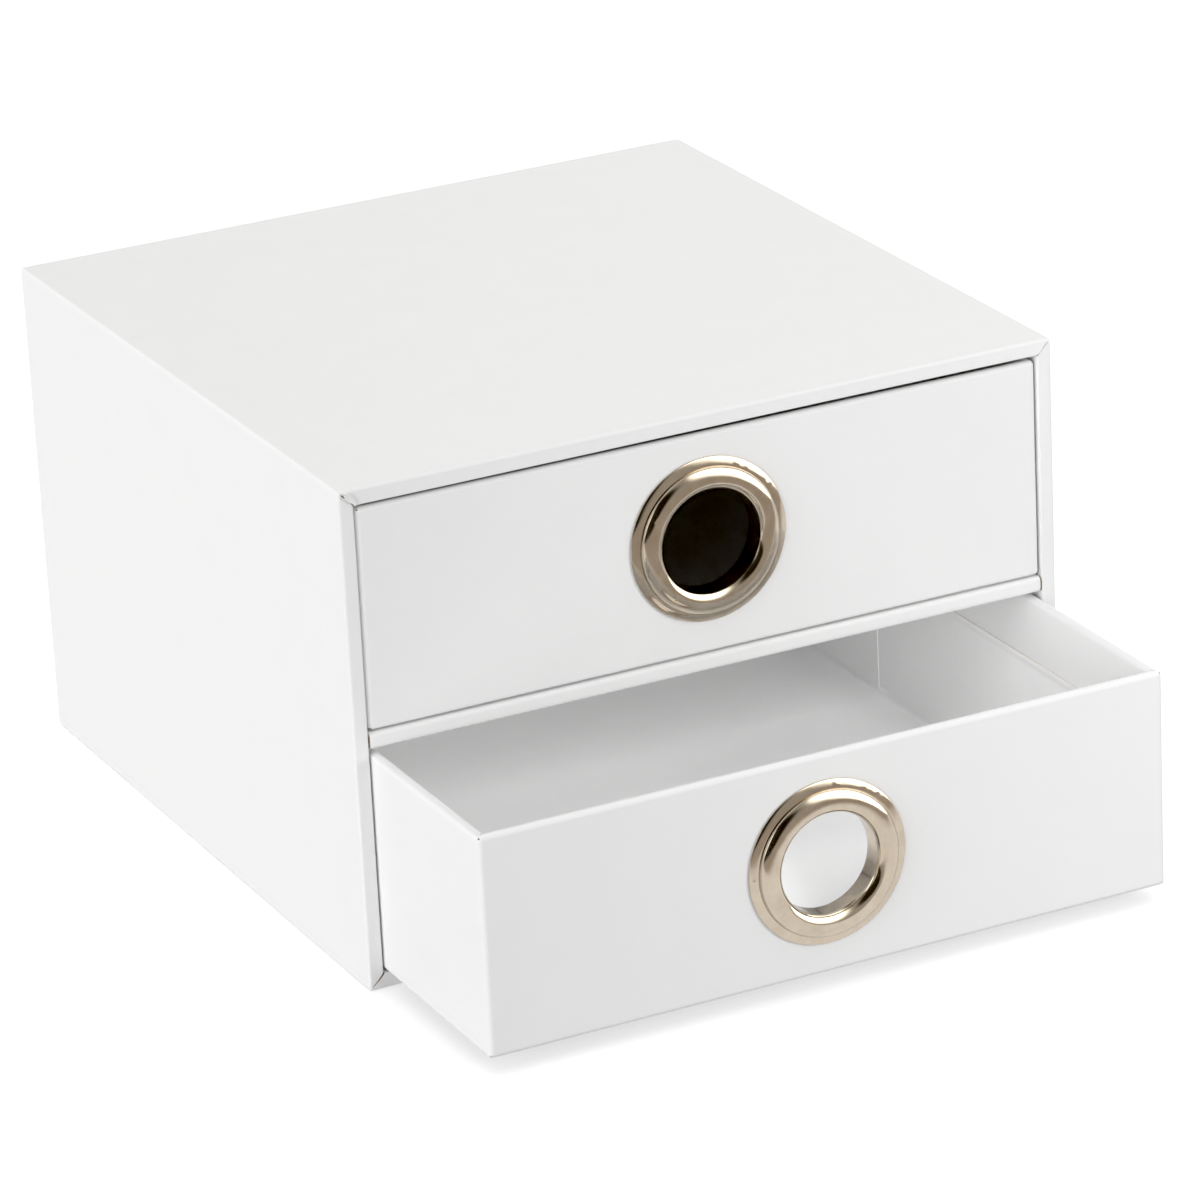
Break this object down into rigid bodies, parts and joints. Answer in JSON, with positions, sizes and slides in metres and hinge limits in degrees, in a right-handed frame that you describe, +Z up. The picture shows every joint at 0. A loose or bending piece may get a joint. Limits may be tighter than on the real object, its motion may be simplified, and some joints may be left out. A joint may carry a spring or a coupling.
{
  "type": "two-drawer storage chest",
  "caption": "Tabletop chest of white paper-covered board with two stacked drawers that slide out by round metal finger rings.",
  "frame": {"origin": "middle of the case's underside, in the plane that it stands on", "axes": "+Z up, -Y towards the front that the drawers pull out of, +X towards the right side seen from the front"},
  "size_m": [0.16, 0.2157, 0.1068],
  "materials": {
    "greyboard": "raw pressed board, hidden under the paper",
    "white_paper": "smooth satin white covering paper",
    "lining_paper": "matte off-white lining paper",
    "ring_metal": "polished warm nickel plate, lightly scuffed"
  },
  "bodies": {
    "case": {"case_top_board": "greyboard", "case_bottom_board": "greyboard", "case_left_board": "greyboard", "case_right_board": "greyboard", "case_back_board": "greyboard", "case_shelf_board": "greyboard", "case_wrap": "white_paper", "case_base_sheet": "white_paper", "case_back_sheet": "white_paper", "shelf_cover": "white_paper", "upper_compartment_lining": "lining_paper", "lower_compartment_lining": "lining_paper"},
    "upper_drawer": {"upper_drawer_front_board": "greyboard", "upper_drawer_back_board": "greyboard", "upper_drawer_left_board": "greyboard", "upper_drawer_right_board": "greyboard", "upper_drawer_floor_board": "greyboard", "upper_drawer_wrap": "white_paper", "upper_drawer_lining": "lining_paper", "upper_drawer_base_sheet": "white_paper", "upper_finger_ring": "ring_metal", "upper_ring_washer": "ring_metal"},
    "lower_drawer": {"lower_drawer_front_board": "greyboard", "lower_drawer_back_board": "greyboard", "lower_drawer_left_board": "greyboard", "lower_drawer_right_board": "greyboard", "lower_drawer_floor_board": "greyboard", "lower_drawer_wrap": "white_paper", "lower_drawer_lining": "lining_paper", "lower_drawer_base_sheet": "white_paper", "lower_finger_ring": "ring_metal", "lower_ring_washer": "ring_metal"}
  },
  "joints": [
    {"name": "upper_drawer_slide", "type": "slide", "parent": "case", "child": "upper_drawer", "axis": [0, -1, 0], "range_m": [0, 0.12]},
    {"name": "lower_drawer_slide", "type": "slide", "parent": "case", "child": "lower_drawer", "axis": [0, -1, 0], "range_m": [-0.0483, 0.0717]}
  ]
}
